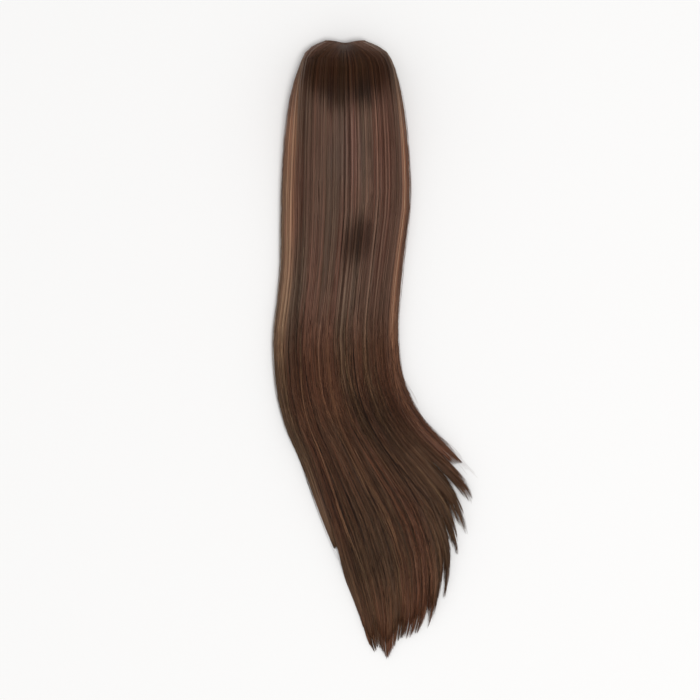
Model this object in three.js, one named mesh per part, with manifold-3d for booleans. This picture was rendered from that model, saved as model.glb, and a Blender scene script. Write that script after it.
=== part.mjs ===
// A long straight ponytail hairpiece, lying on a table with its outer side up.
// Millimetres, +Z up. The head of the ponytail is towards +Y and its tips are towards -Y.
// The hair hangs from a sewn cloth saddle, which sits over a closed claw clip under the head.
// The origin is on the table, below the middle of the whole piece.
import * as THREE from "three";
import { mergeVertices } from "three/addons/utils/BufferGeometryUtils.js";
import Module from "manifold-3d";

const wasm = await Module();
wasm.setup();

// The hair
const fallLength = 620; // from the edge of the head down to the lowest tips
const fallWidth = 128; // across the widest part of the fall
const hairOverSaddle = 10; // thickness of the hair over the top of the cloth saddle
const hairEdge = 1.6; // thickness of the hair along its outer edges
const tipThickness = 1; // thickness where a lock ends
const domePower = 2.5; // 2 is a round cross-section, and more is squarer
const layerShare = 0.45; // how much of the thickness the under layer takes
const layerGap = 0.6; // between the crown layer and the under layer
const lockGap = 0.9; // between a side lock and the layers beside it
const lockRise = 1.6; // how far the fullest lock stands proud of its borders
const dentDepth = 1.8; // of the deepest hollow in the outer surface

// The head
const noseRun = 14; // how far back from the edge of the head its underside lifts off the table
const noseLift = 13; // height of that lift at the edge
const dipDepth = 2.5; // the dip in the edge of the head, between its two lobes
const dipWidth = 9; // half the width of that dip
const partingDepth = 3.5; // the shallow valley that runs down from the dip
const partingRun = 34; // how far down the head that valley fades out

// The claw clip
const clipLength = 62;
const clipRadius = 15; // outside radius of the closed jaws
const jawWall = 2.2;
const clipDown = 44; // from the edge of the head to the clip's axis
const toothWidth = 3;
const toothPitch = 6.8;
const toothLength = 11; // from the table up to where the teeth meet the jaw
const toothCount = 9; // in one jaw, and one less in the other
const toothHook = 12; // degrees that each tooth reaches past the middle
const hingeRadius = 3.2;
const hingeLength = 30;
const tabWidth = 20;
const tabLength = 9;
const tabThickness = 2.4;
const tabTilt = 40; // degrees from upright

// The cloth saddle that the hair is sewn to
const saddleLength = 54;
const saddleWall = 1.8;
const saddleLeg = 7; // how far its two legs reach below the clip's axis
const fitGap = 0.4; // between the clip, the saddle and the hair
const clipEndRoom = 8; // free space past each end of the clip, inside the hair
const rampRun = 10; // behind the saddle, over which the crown layer rises off the table
const cutPast = 2; // how far a cutting shape runs past what it cuts

// Stations down the fall. along is the share of the way from head to tips. The left and right edges
// are given as shares of fallWidth from the head's centre line and shares of fallLength below its edge.
// height is a share of crownHeight, and the last two columns are the widths of the side locks, as
// shares of the width there. Past along 0.68 the right edge is where the hair would be if uncut.
const STATION_COLUMNS = ["along", "leftX", "leftY", "rightX", "rightY", "height", "leftLock", "rightLock"];
const STATIONS = [
  [0.0, -0.15, 0.0, 0.15, 0.0, 0.33, 0.0, 0.0],
  [0.008, -0.25, 0.008, 0.25, 0.008, 0.5, 0.0, 0.0],
  [0.02, -0.318, 0.02, 0.335, 0.02, 0.68, 0.0, 0.0],
  [0.04, -0.355, 0.04, 0.38, 0.04, 0.87, 0.045, 0.03],
  [0.06, -0.39, 0.06, 0.41, 0.06, 0.97, 0.065, 0.045],
  [0.1, -0.434, 0.1, 0.449, 0.1, 0.97, 0.09, 0.055],
  [0.175, -0.473, 0.174, 0.488, 0.174, 0.72, 0.105, 0.06],
  [0.25, -0.492, 0.252, 0.504, 0.25, 0.54, 0.11, 0.065],
  [0.34, -0.496, 0.348, 0.457, 0.339, 0.45, 0.11, 0.07],
  [0.41, -0.527, 0.419, 0.422, 0.41, 0.41, 0.11, 0.075],
  [0.475, -0.559, 0.484, 0.41, 0.466, 0.39, 0.105, 0.08],
  [0.54, -0.535, 0.555, 0.432, 0.527, 0.38, 0.1, 0.085],
  [0.6, -0.465, 0.619, 0.514, 0.579, 0.37, 0.09, 0.09],
  [0.655, -0.34, 0.677, 0.65, 0.623, 0.34, 0.075, 0.09],
  [0.715, -0.223, 0.745, 0.87, 0.668, 0.3, 0.055, 0.07],
  [0.78, -0.105, 0.81, 1.09, 0.731, 0.25, 0.03, 0.04],
  [0.85, 0.02, 0.871, 1.152, 0.813, 0.2, 0.0, 0.0],
  [0.915, 0.105, 0.921, 1.059, 0.91, 0.15, 0.0, 0.0],
  [0.965, 0.168, 0.966, 0.863, 0.974, 0.1, 0.0, 0.0],
  [1.0, 0.23, 0.998, 0.668, 1.0, 0.07, 0.0, 0.0],
].map((row) => Object.fromEntries(STATION_COLUMNS.map((name, i) => [name, row[i]])));

// Locks of the two middle layers, from left to right. to is the lock's right border as a share across
// the layer, outerTip and underTip are how far along its point reaches in each layer, and rise is how
// far the outer lock stands proud of its borders, as a share of lockRise.
const LOCKS = [
  { to: 0.12, outerTip: 0.965, underTip: 0.99, rise: 0.63 },
  { to: 0.33, outerTip: 0.97, underTip: 1.0, rise: 1.0 },
  { to: 0.465, outerTip: 0.94, underTip: 0.957, rise: 0.69 },
  { to: 0.56, outerTip: 0.93, underTip: 0.953, rise: 0.94 },
  { to: 0.65, outerTip: 0.92, underTip: 0.943, rise: 0.63 },
  { to: 0.72, outerTip: 0.87, underTip: 0.905, rise: 0.81 },
  { to: 0.79, outerTip: 0.825, underTip: 0.855, rise: 0.63 },
  { to: 0.88, outerTip: 0.8, underTip: 0.832, rise: 0.88 },
  { to: 1.0, outerTip: 0.768, underTip: 0.79, rise: 0.69 },
];
const frayStartShare = 0.6; // share along at which the rows start to follow the locks' own lengths
const frayLeftShare = 0.965; // how far along the borders between locks reach, on the left
const frayRightShare = 0.735; // and on the right
const outerShorterShare = 0.025; // how much less far they reach in the outer layer

const lockStartShare = 0.028; // share along at which the side locks start
const leftLockEndShare = 0.795;
const rightLockEndShare = 0.728;
const lockThinShare = 0.06; // run over which a side lock gets thin before its end
const rampStepShare = 0.0005; // run of the step where the crown layer leaves the table

// Shallow hollows in the outer surface, by place and size as shares across and along. depth is a share
// of dentDepth.
const DENTS = [
  { across: 0.58, along: 0.32, width: 0.14, length: 0.04, depth: 1.0 },
  { across: 0.6, along: 0.62, width: 0.12, length: 0.06, depth: 0.83 },
];

// The sizes of the clip and the saddle that follow from the ones above.
const clipAxis = clipRadius; // height of the clip's axis, with its teeth on the table
const hingeHeight = clipRadius - jawWall / 2; // above the axis
const tabTop =
  hingeHeight + tabLength * Math.cos(THREE.MathUtils.degToRad(tabTilt)) + tabThickness / 2;
const tabReach =
  tabLength * Math.sin(THREE.MathUtils.degToRad(tabTilt)) + tabThickness / 2;
const saddleInner = clipRadius + fitGap;
const saddleOuter = saddleInner + saddleWall;
const saddleRise = (tabTop + fitGap) / Math.sqrt(1 - (tabReach / saddleInner) ** 2);
// The height of the head's top above the table.
const crownHeight = clipAxis + saddleRise + saddleWall + hairOverSaddle;

const clamp = THREE.MathUtils.clamp;
const mix = THREE.MathUtils.lerp;
const smooth = THREE.MathUtils.smoothstep;

// A smooth curve through one column of the stations, as a function of the share along the fall.
// It turns level at each highest and lowest row, so it never overshoots the table.
function curveThrough(column) {
  const at = STATIONS.map((row) => row.along);
  const value = STATIONS.map((row) => row[column]);
  const step = value.slice(1).map((v, i) => (v - value[i]) / (at[i + 1] - at[i]));
  const slope = value.map((_, i) => {
    if (i === 0) return step[0];
    if (i === step.length) return step[i - 1];
    if (step[i - 1] * step[i] <= 0) return 0;
    return (2 * step[i - 1] * step[i]) / (step[i - 1] + step[i]);
  });
  return (along) => {
    const t = clamp(along, at[0], at[at.length - 1]);
    const i = Math.min(at.findLastIndex((x) => x <= t), at.length - 2);
    const run = at[i + 1] - at[i];
    const s = (t - at[i]) / run;
    const rise = value[i + 1] - value[i];
    return (
      value[i] +
      slope[i] * run * (s - 2 * s ** 2 + s ** 3) +
      rise * (3 * s ** 2 - 2 * s ** 3) +
      slope[i + 1] * run * (s ** 3 - s ** 2)
    );
  };
}

const leftX = curveThrough("leftX");
const leftY = curveThrough("leftY");
const rightX = curveThrough("rightX");
const rightY = curveThrough("rightY");
const height = curveThrough("height");
const leftLock = curveThrough("leftLock");
const rightLock = curveThrough("rightLock");

// Where the hair is in plan, at a share across the fall and a share along it.
function planPoint(across, along) {
  const x = mix(leftX(along), rightX(along), across) * fallWidth;
  const down = mix(leftY(along), rightY(along), across) * fallLength;
  const dip = dipDepth * Math.exp(-((x / dipWidth) ** 2)) * (1 - smooth(down, 0, noseRun));
  return { x, y: -down - dip, down };
}

function widthAt(along) {
  return Math.hypot(
    (rightX(along) - leftX(along)) * fallWidth,
    (rightY(along) - leftY(along)) * fallLength,
  );
}

// The underside of all the hair: on the table, but for the lifted edge of the head.
function undersideHeight(down) {
  const back = 1 - clamp(down / noseRun, 0, 1);
  return noseLift * (1 - Math.sqrt(1 - back ** 2));
}

// The outer surface of all the hair, without the relief of its locks.
function outsideHeight(across, along) {
  const { x, down } = planPoint(across, along);
  const under = undersideHeight(down);
  const side = Math.abs(2 * across - 1);
  const dome = Math.max(0, 1 - side ** domePower) ** (1 / domePower);
  const parting = partingDepth * Math.exp(-((x / dipWidth) ** 2)) * (1 - smooth(down, 0, partingRun));
  const dents = DENTS.map(
    (d) => d.depth * Math.exp(-(((across - d.across) / d.width) ** 2) - ((along - d.along) / d.length) ** 2),
  ).reduce((sum, depth) => sum + depth * dentDepth, 0);
  const full = (crownHeight * height(along) - under - hairEdge) * dome - parting - dents * dome;
  return under + hairEdge + Math.max(0, full);
}

// The surface at which the under layer ends and the crown layer begins.
function splitHeight(across, along) {
  return layerShare * outsideHeight(across, along);
}

// A closed sheet of hair: a grid of columns across and rows along, with a top and a bottom side.
// place(column, row) gives { x, y, top, bottom } for each point of the grid.
function hairSheet(columns, rows, place) {
  const positions = [];
  const points = rows.map((row) => columns.map((column) => place(column, row)));
  for (const side of ["top", "bottom"])
    for (const line of points) for (const p of line) positions.push(p.x, p.y, p[side]);
  const across = columns.length;
  const count = across * rows.length;
  const top = (i, j) => i * across + j;
  const bottom = (i, j) => count + i * across + j;
  const faces = [];
  const quad = (a, b, c, d) => faces.push(a, b, c, a, c, d);
  for (let i = 0; i + 1 < rows.length; i++) {
    for (let j = 0; j + 1 < across; j++) {
      quad(top(i, j), top(i + 1, j), top(i + 1, j + 1), top(i, j + 1));
      quad(bottom(i, j), bottom(i, j + 1), bottom(i + 1, j + 1), bottom(i + 1, j));
    }
    const last = across - 1;
    quad(top(i, 0), bottom(i, 0), bottom(i + 1, 0), top(i + 1, 0));
    quad(top(i, last), top(i + 1, last), bottom(i + 1, last), bottom(i, last));
  }
  for (let j = 0; j + 1 < across; j++) {
    const end = rows.length - 1;
    quad(top(0, j), top(0, j + 1), bottom(0, j + 1), bottom(0, j));
    quad(top(end, j), bottom(end, j), bottom(end, j + 1), top(end, j + 1));
  }
  return new THREE.BufferGeometry()
    .setAttribute("position", new THREE.Float32BufferAttribute(positions, 3))
    .setIndex(faces);
}

// Columns across a layer, this many to a lock, from its left side to its right. border is how far
// along the borders between locks reach there, and point how much farther this column reaches.
function lockColumns(tip, shorter, steps) {
  const borderAt = (across) => mix(frayLeftShare, frayRightShare, smooth(across, 0.4, 0.95)) - shorter;
  const columns = [];
  let from = 0;
  for (const lock of LOCKS) {
    for (let k = 0; k < steps; k++) {
      const share = k / steps;
      const across = mix(from, lock.to, share);
      const border = borderAt(across);
      const pointed = 1 - Math.abs(2 * share - 1);
      columns.push({
        across,
        border,
        point: (lock[tip] - border) * pointed,
        rise: lock.rise * lockRise * Math.sin(Math.PI * share),
      });
    }
    from = lock.to;
  }
  columns.push({ across: 1, border: borderAt(1), point: 0, rise: 0 });
  return columns;
}

// The rows of the head, and the ones that all the pieces share below it, as shares along.
const saddleBack = (clipDown + saddleOuter + fitGap) / fallLength;
const headRows = [0, 0.008, 0.02, 0.036, 0.052, 0.068, saddleBack - rampRun / fallLength];
const bodySteps = 16;
const fraySteps = 9;
const evenRows = (from, to, steps) => Array.from({ length: steps + 1 }, (_, i) => mix(from, to, i / steps));
const bodyRows = evenRows(saddleBack, frayStartShare, bodySteps);
const frayRows = evenRows(0, 1, fraySteps).slice(1);

// The place of a column at a row. A row is a share along down to the fray, and past it 1 + a share
// of the rest, over which each column runs on to its own reach.
function alongAt(column, row) {
  if (row <= frayStartShare) return row;
  const share = row - 1;
  return mix(frayStartShare, column.border, share) + column.point * smooth(share, 0.4, 1);
}

const layerRows = [...bodyRows, ...frayRows.map((share) => 1 + share)];

// How far across the fall a column of a layer is, between the side locks.
function acrossAt(column, along) {
  const gap = lockGap / widthAt(along);
  const from = leftLock(along) > 0 ? leftLock(along) + gap : 0;
  const to = rightLock(along) > 0 ? 1 - rightLock(along) - gap : 1;
  return mix(from, to, column.across);
}

// The outer layer: the domed head, hollow where the saddle and the clip sit, and the fall below it.
function crownLayer() {
  const rampEnd = saddleBack - rampStepShare;
  const rows = [...headRows, rampEnd, ...layerRows];
  return hairSheet(lockColumns("outerTip", outerShorterShare, 4), rows, (column, row) => {
    const along = alongAt(column, row);
    const across = acrossAt(column, along);
    const { x, y, down } = planPoint(across, along);
    const split = splitHeight(across, along) + layerGap;
    const bottom = row < rampEnd ? undersideHeight(down) : split;
    const thin = 1 - smooth(row, 1.6, 2);
    const full = Math.max(tipThickness, outsideHeight(across, along) - bottom);
    const relief = column.rise * smooth(along, 0.03, 0.4);
    return { x, y, bottom, top: bottom + mix(tipThickness, full + relief, thin) };
  });
}

// The layer below it, flat on the table, which starts behind the saddle.
function underLayer() {
  return hairSheet(lockColumns("underTip", 0, 2), layerRows, (column, row) => {
    const along = alongAt(column, row);
    const across = acrossAt(column, along);
    const { x, y } = planPoint(across, along);
    const thin = 1 - smooth(row, 1.7, 2);
    return { x, y, bottom: 0, top: Math.max(tipThickness, splitHeight(across, along) * thin) };
  });
}

// A lock along one edge of the fall, from the table up to the outer surface.
function sideLock(width, onLeft, start, end) {
  const columns = [0, 0.08, 0.25, 0.5, 0.75, 1];
  const pastFray = frayRows.map((share) => mix(frayStartShare, end, share));
  const below = [...headRows, ...bodyRows, ...pastFray].filter((row) => row > start);
  const rows = [start, ...below].sort((a, b) => a - b);
  return hairSheet(onLeft ? columns : columns.toReversed(), rows, (column, along) => {
    const across = onLeft ? column * width(along) : 1 - column * width(along);
    const { x, y, down } = planPoint(across, along);
    const bottom = undersideHeight(down);
    const thin = 1 - smooth(along, end - lockThinShare, end);
    return { x, y, bottom, top: bottom + mix(tipThickness, outsideHeight(across, along) - bottom, thin) };
  });
}

// Extrudes an outline in Y and Z along X, centred on the head's centre line.
function extrudeAlongX(shape, length, curveSegments) {
  const geometry = new THREE.ExtrudeGeometry(shape, { depth: length, bevelEnabled: false, curveSegments });
  geometry.translate(0, 0, -length / 2);
  const toPlace = new THREE.Matrix4().makeBasis(
    new THREE.Vector3(0, 1, 0),
    new THREE.Vector3(0, 0, 1),
    new THREE.Vector3(1, 0, 0),
  );
  return geometry.applyMatrix4(toPlace);
}

function toSolid(geometry) {
  const bare = geometry.index ? geometry.toNonIndexed() : geometry.clone();
  bare.deleteAttribute("normal");
  bare.deleteAttribute("uv");
  const merged = mergeVertices(bare);
  return new wasm.Manifold(
    new wasm.Mesh({
      numProp: 3,
      vertProperties: merged.attributes.position.array,
      triVerts: new Uint32Array(merged.index.array),
    }),
  );
}

function toGeometry(solid) {
  const mesh = solid.getMesh();
  return new THREE.BufferGeometry()
    .setAttribute("position", new THREE.BufferAttribute(mesh.vertProperties, 3))
    .setIndex(new THREE.BufferAttribute(mesh.triVerts, 1));
}

// One curved jaw with its teeth. side is 1 for the jaw towards the head's edge and -1 for the other.
function clipJaw(side, count) {
  const inner = clipRadius - jawWall;
  const top = Math.PI / 2;
  const hook = THREE.MathUtils.degToRad(toothHook);
  const band = new THREE.Shape();
  if (side > 0) {
    band.absarc(0, 0, clipRadius, -top - hook, top, false);
    band.absarc(0, 0, inner, top, -top - hook, true);
  } else {
    band.absarc(0, 0, clipRadius, top, 3 * top + hook, false);
    band.absarc(0, 0, inner, 3 * top + hook, top, true);
  }
  let jaw = toSolid(extrudeAlongX(band, clipLength, 10));
  const slotHeight = toothLength + cutPast;
  const slotMiddle = toothLength - clipAxis - slotHeight / 2;
  const firstTooth = (-(count - 1) * toothPitch) / 2;
  for (let i = 0; i <= count; i++) {
    const low = i === 0 ? -clipLength / 2 - cutPast : firstTooth + (i - 1) * toothPitch + toothWidth / 2;
    const high = i === count ? clipLength / 2 + cutPast : firstTooth + i * toothPitch - toothWidth / 2;
    const slot = new THREE.BoxGeometry(high - low, 2 * clipRadius, slotHeight);
    slot.translate((low + high) / 2, (side * clipRadius) / 2, slotMiddle);
    jaw = jaw.subtract(toSolid(slot));
  }
  return jaw;
}

// A finger tab, which leans out from the hinge.
function clipTab(side) {
  const tab = new THREE.BoxGeometry(tabWidth, tabThickness, tabLength);
  tab.translate(0, 0, tabLength / 2);
  tab.rotateX(-side * THREE.MathUtils.degToRad(tabTilt));
  tab.translate(0, 0, hingeHeight);
  return toSolid(tab);
}

// The closed claw clip, as one plain piece.
function clawClip() {
  const hinge = new THREE.CylinderGeometry(hingeRadius, hingeRadius, hingeLength, 12);
  hinge.rotateZ(Math.PI / 2);
  hinge.translate(0, 0, hingeHeight);
  const jaws = clipJaw(1, toothCount).add(clipJaw(-1, toothCount - 1));
  const tabs = clipTab(1).add(clipTab(-1));
  return toGeometry(jaws.add(toSolid(hinge)).add(tabs)).translate(0, -clipDown, clipAxis);
}

// The outline of an arch in Y and Z, of this half width and rise above the clip's axis.
function archOutline(halfWidth, rise, legDepth) {
  const outline = new THREE.Shape();
  outline.moveTo(halfWidth, -legDepth);
  outline.lineTo(halfWidth, 0);
  outline.absellipse(0, 0, halfWidth, rise, 0, Math.PI, false);
  outline.lineTo(-halfWidth, -legDepth);
  return outline;
}

// The cloth saddle: an arch over the clip and its tabs, open at the bottom and at both ends.
function weftSaddle() {
  const outer = archOutline(saddleOuter, saddleRise + saddleWall, saddleLeg);
  const inner = archOutline(saddleInner, saddleRise, saddleLeg + cutPast);
  const arch = toSolid(extrudeAlongX(outer, saddleLength, 12)).subtract(
    toSolid(extrudeAlongX(inner, saddleLength + cutPast, 12)),
  );
  return toGeometry(arch).translate(0, -clipDown, clipAxis);
}

// The room that the hair leaves for the saddle and the clip, open towards the table.
function headHollow() {
  const belowTable = clipAxis + cutPast;
  const overSaddle = archOutline(saddleOuter + fitGap, saddleRise + saddleWall + fitGap, belowTable);
  const overClip = archOutline(saddleInner, saddleInner, belowTable);
  return toSolid(extrudeAlongX(overSaddle, saddleLength + 2 * fitGap, 12))
    .add(toSolid(extrudeAlongX(overClip, clipLength + 2 * clipEndRoom, 12)))
    .translate([0, -clipDown, clipAxis]);
}

const material = (color, roughness) => new THREE.MeshStandardMaterial({ color, roughness, metalness: 0 });
const brownHair = material(0x513c30, 0.45);
const deepHair = material(0x46342a, 0.5);
const caramelHair = material(0x7e5f4c, 0.42);
const blackPlastic = material(0x1c1715, 0.3);
const darkCloth = material(0x2b201b, 0.85);

const hairpiece = new THREE.Group();

function addPiece(name, geometry, finish) {
  geometry.computeVertexNormals();
  const mesh = new THREE.Mesh(geometry, finish);
  mesh.name = name;
  hairpiece.add(mesh);
}

addPiece("claw_clip", clawClip(), blackPlastic);
addPiece("weft_saddle", weftSaddle(), darkCloth);
addPiece("crown_layer", toGeometry(toSolid(crownLayer()).subtract(headHollow())), brownHair);
addPiece("under_layer", underLayer(), deepHair);
addPiece("left_lock", sideLock(leftLock, true, lockStartShare, leftLockEndShare), caramelHair);
addPiece("right_lock", sideLock(rightLock, false, lockStartShare, rightLockEndShare), caramelHair);

// The origin goes below the middle of the whole piece.
const middle = new THREE.Box3().setFromObject(hairpiece).getCenter(new THREE.Vector3());
hairpiece.position.set(-middle.x, -middle.y, 0);

export default hairpiece;
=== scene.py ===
# %% [markdown]
# # A long ponytail hairpiece
# The real thing is straight fibre, sewn in rows to a small cloth saddle that sits over a claw clip. It
# lies on a table with its outer side up, and its tips fan out to one side. This lesson builds the hair
# as many thin closed tubes that flow along one shared set of streamlines. Blender also has hair curves,
# but tubes are plain meshes, so they can be exported and looked at from any side. Everything is in
# metres, with +Z up and +Y towards the head.

import math

import bpy
import numpy as np
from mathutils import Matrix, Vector


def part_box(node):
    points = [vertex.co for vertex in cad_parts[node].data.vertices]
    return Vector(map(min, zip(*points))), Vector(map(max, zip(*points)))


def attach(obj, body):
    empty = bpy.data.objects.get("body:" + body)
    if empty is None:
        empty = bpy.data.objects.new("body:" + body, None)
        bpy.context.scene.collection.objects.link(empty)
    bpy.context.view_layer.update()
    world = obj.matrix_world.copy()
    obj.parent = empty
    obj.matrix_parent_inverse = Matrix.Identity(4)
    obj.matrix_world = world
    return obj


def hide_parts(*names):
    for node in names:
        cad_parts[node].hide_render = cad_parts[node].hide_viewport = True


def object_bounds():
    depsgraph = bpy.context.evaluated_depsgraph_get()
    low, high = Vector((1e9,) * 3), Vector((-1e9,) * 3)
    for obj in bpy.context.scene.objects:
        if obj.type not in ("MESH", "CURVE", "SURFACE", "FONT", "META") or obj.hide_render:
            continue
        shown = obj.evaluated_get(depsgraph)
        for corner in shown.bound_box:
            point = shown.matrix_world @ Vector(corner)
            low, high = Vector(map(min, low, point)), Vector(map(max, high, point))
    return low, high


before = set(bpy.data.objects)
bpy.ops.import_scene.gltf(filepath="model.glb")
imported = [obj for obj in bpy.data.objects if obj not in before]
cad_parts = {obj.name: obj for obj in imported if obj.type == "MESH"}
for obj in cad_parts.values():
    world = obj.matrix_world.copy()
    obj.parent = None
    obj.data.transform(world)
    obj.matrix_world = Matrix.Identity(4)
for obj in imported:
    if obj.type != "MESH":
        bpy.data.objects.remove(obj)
cad_low, cad_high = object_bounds()
print("nodes:", ", ".join(sorted(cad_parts)))
print("size in mm:", [round(1000 * side) for side in cad_high - cad_low])

# %% [markdown]
# ## Where the hair flows
# A lock of straight hair keeps its place in the whole: a strand on the left stays on the left. So one
# short table says where the left and right edges of the fall are at each station down its length, and
# every strand is a share across between them. The table repeats the shares of the solid model, so the
# fine hair lies exactly where the solids are.

# %% Driving sizes and the table of stations
FALL_LENGTH = 0.620
FALL_WIDTH = 0.128
HAIR_OVER_SADDLE = 0.010
HAIR_EDGE = 0.0016
DOME_POWER = 2.5
LAYER_SHARE = 0.45
LOCK_GAP = 0.0009
NOSE_RUN = 0.014
NOSE_LIFT = 0.013
DIP_DEPTH = 0.0025
DIP_WIDTH = 0.009
PARTING_DEPTH = 0.0035
PARTING_RUN = 0.034

clip_low, clip_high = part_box("claw_clip")
centre_x = (clip_low.x + clip_high.x) / 2
head_y = cad_high.y
crown_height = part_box("weft_saddle")[1].z + HAIR_OVER_SADDLE
print("head's centre line at x =", round(centre_x, 4), "and its edge at y =", round(head_y, 4))

COLUMNS = ("along", "left_x", "left_y", "right_x", "right_y", "height", "left_lock", "right_lock")
STATIONS = np.array([
    (0.0, -0.15, 0.0, 0.15, 0.0, 0.33, 0.0, 0.0),
    (0.008, -0.25, 0.008, 0.25, 0.008, 0.5, 0.0, 0.0),
    (0.02, -0.318, 0.02, 0.335, 0.02, 0.68, 0.0, 0.0),
    (0.04, -0.355, 0.04, 0.38, 0.04, 0.87, 0.045, 0.03),
    (0.06, -0.39, 0.06, 0.41, 0.06, 0.97, 0.065, 0.045),
    (0.1, -0.434, 0.1, 0.449, 0.1, 0.97, 0.09, 0.055),
    (0.175, -0.473, 0.174, 0.488, 0.174, 0.72, 0.105, 0.06),
    (0.25, -0.492, 0.252, 0.504, 0.25, 0.54, 0.11, 0.065),
    (0.34, -0.496, 0.348, 0.457, 0.339, 0.45, 0.11, 0.07),
    (0.41, -0.527, 0.419, 0.422, 0.41, 0.41, 0.11, 0.075),
    (0.475, -0.559, 0.484, 0.41, 0.466, 0.39, 0.105, 0.08),
    (0.54, -0.535, 0.555, 0.432, 0.527, 0.38, 0.1, 0.085),
    (0.6, -0.465, 0.619, 0.514, 0.579, 0.37, 0.09, 0.09),
    (0.655, -0.34, 0.677, 0.65, 0.623, 0.34, 0.075, 0.09),
    (0.715, -0.223, 0.745, 0.87, 0.668, 0.3, 0.055, 0.07),
    (0.78, -0.105, 0.81, 1.09, 0.731, 0.25, 0.03, 0.04),
    (0.85, 0.02, 0.871, 1.152, 0.813, 0.2, 0.0, 0.0),
    (0.915, 0.105, 0.921, 1.059, 0.91, 0.15, 0.0, 0.0),
    (0.965, 0.168, 0.966, 0.863, 0.974, 0.1, 0.0, 0.0),
    (1.0, 0.23, 0.998, 0.668, 1.0, 0.07, 0.0, 0.0),
])
print(len(STATIONS), "stations")

# %% Helpers for shares and smooth curves
def mix(a, b, share):
    return a + (b - a) * share


def smooth(value, low, high):
    share = np.clip((value - low) / (high - low), 0.0, 1.0)
    return share * share * (3.0 - 2.0 * share)


def curve_through(name):
    """A smooth curve through one column of the stations, which turns level at each peak."""
    at = STATIONS[:, 0]
    value = STATIONS[:, COLUMNS.index(name)]
    step = np.diff(value) / np.diff(at)
    slope = np.zeros(len(value))
    slope[0] = step[0]
    slope[-1] = step[-1]
    for i in range(1, len(step)):
        if step[i - 1] * step[i] > 0:
            slope[i] = 2 * step[i - 1] * step[i] / (step[i - 1] + step[i])

    def curve(along):
        t = np.clip(along, at[0], at[-1])
        i = np.clip(np.searchsorted(at, t, side="right") - 1, 0, len(at) - 2)
        run = at[i + 1] - at[i]
        s = (t - at[i]) / run
        return (
            value[i]
            + slope[i] * run * (s - 2 * s**2 + s**3)
            + (value[i + 1] - value[i]) * (3 * s**2 - 2 * s**3)
            + slope[i + 1] * run * (s**3 - s**2)
        )

    return curve


curves = {name: curve_through(name) for name in COLUMNS[1:]}
quarter_width = (curves["right_x"](0.25) - curves["left_x"](0.25)) * FALL_WIDTH
print("width a quarter of the way down:", round(1000 * float(quarter_width)), "mm")

# %% [markdown]
# ## The outside of the hair
# The cross-section is a flattened dome that stands on the table. At the head the hair comes up round a
# rounded nose from the underside, so a strand's path there starts below the edge, goes round it and
# over the top. The functions work on whole arrays of strands at once, because a loop over a hundred
# thousand points would be slow in Python.

# %% The outer surface and the way out of it
def plan_point(across, along):
    """x and y of a point, and how far down from the head's edge it lies."""
    x = mix(curves["left_x"](along), curves["right_x"](along), across) * FALL_WIDTH
    down = mix(curves["left_y"](along), curves["right_y"](along), across) * FALL_LENGTH
    dip = DIP_DEPTH * np.exp(-((x / DIP_WIDTH) ** 2)) * (1 - smooth(down, 0, NOSE_RUN))
    return centre_x + x, head_y - down - dip, down


def underside_height(down):
    back = 1 - np.clip(down / NOSE_RUN, 0, 1)
    return NOSE_LIFT * (1 - np.sqrt(np.clip(1 - back**2, 0, 1)))


def outer_surface(across, along, share=1.0):
    """A point on the outside of the hair, or at a share of its height, and the way out of it there."""
    across = np.clip(across, 0.0, 1.0)
    x, y, down = plan_point(across, along)
    under = underside_height(down)
    side = 2 * across - 1
    dome = np.clip(1 - np.abs(side) ** DOME_POWER, 0, 1) ** (1 / DOME_POWER)
    full = (crown_height * curves["height"](along) - under - HAIR_EDGE) * dome
    parting = PARTING_DEPTH * np.exp(-(((x - centre_x) / DIP_WIDTH) ** 2))
    full = np.maximum(0, full - parting * (1 - smooth(down, 0, PARTING_RUN)))
    z = under + (HAIR_EDGE + full) * share

    way_x = (curves["right_x"](along) - curves["left_x"](along)) * FALL_WIDTH
    way_y = (curves["left_y"](along) - curves["right_y"](along)) * FALL_LENGTH
    width = np.hypot(way_x, way_y)
    out_side = np.sign(side) * np.abs(side) ** (DOME_POWER - 1) / (width / 2)
    out_up = dome ** (DOME_POWER - 1) / (crown_height * curves["height"](along) * share)
    out = np.stack([out_side * way_x / width, out_side * way_y / width, out_up], axis=-1)
    out /= np.linalg.norm(out, axis=-1, keepdims=True) + 1e-12
    return np.stack([x, y, z], axis=-1), out


def across_of_angle(angle):
    """Share across for a place on the dome's arc, from -1 at its left foot to 1 at its right foot."""
    side = np.sin(np.abs(angle) * math.pi / 2) ** (2 / DOME_POWER)
    return 0.5 + 0.5 * np.sign(angle) * side


def angle_of_across(across):
    side = 2 * across - 1
    return np.sign(side) * np.arcsin(np.abs(side) ** (DOME_POWER / 2)) * 2 / math.pi


crown_top = outer_surface(np.array(0.5), np.array(0.08))[0][2]
print("the crown is", round(1000 * float(crown_top), 1), "mm high")

# %% [markdown]
# ## Locks and their tips
# Straight hair parts into locks near its ends, and each lock tapers to a point because its fibres have
# different lengths. The table says how wide each lock is and how far its point reaches, in the outer
# layer and in the layer below it.

# %% The table of locks
LOCK_COLUMNS = ("to", "outer_tip", "under_tip")
LOCKS = np.array([
    (0.12, 0.965, 0.99),
    (0.33, 0.97, 1.0),
    (0.465, 0.94, 0.957),
    (0.56, 0.93, 0.953),
    (0.65, 0.92, 0.943),
    (0.72, 0.87, 0.905),
    (0.79, 0.825, 0.855),
    (0.88, 0.8, 0.832),
    (1.0, 0.768, 0.79),
])
FRAY_LEFT = 0.965
FRAY_RIGHT = 0.735
OUTER_SHORTER = 0.025
WEDGE_POWER = 0.6  # below 1 a lock stays full nearly to its point


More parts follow.
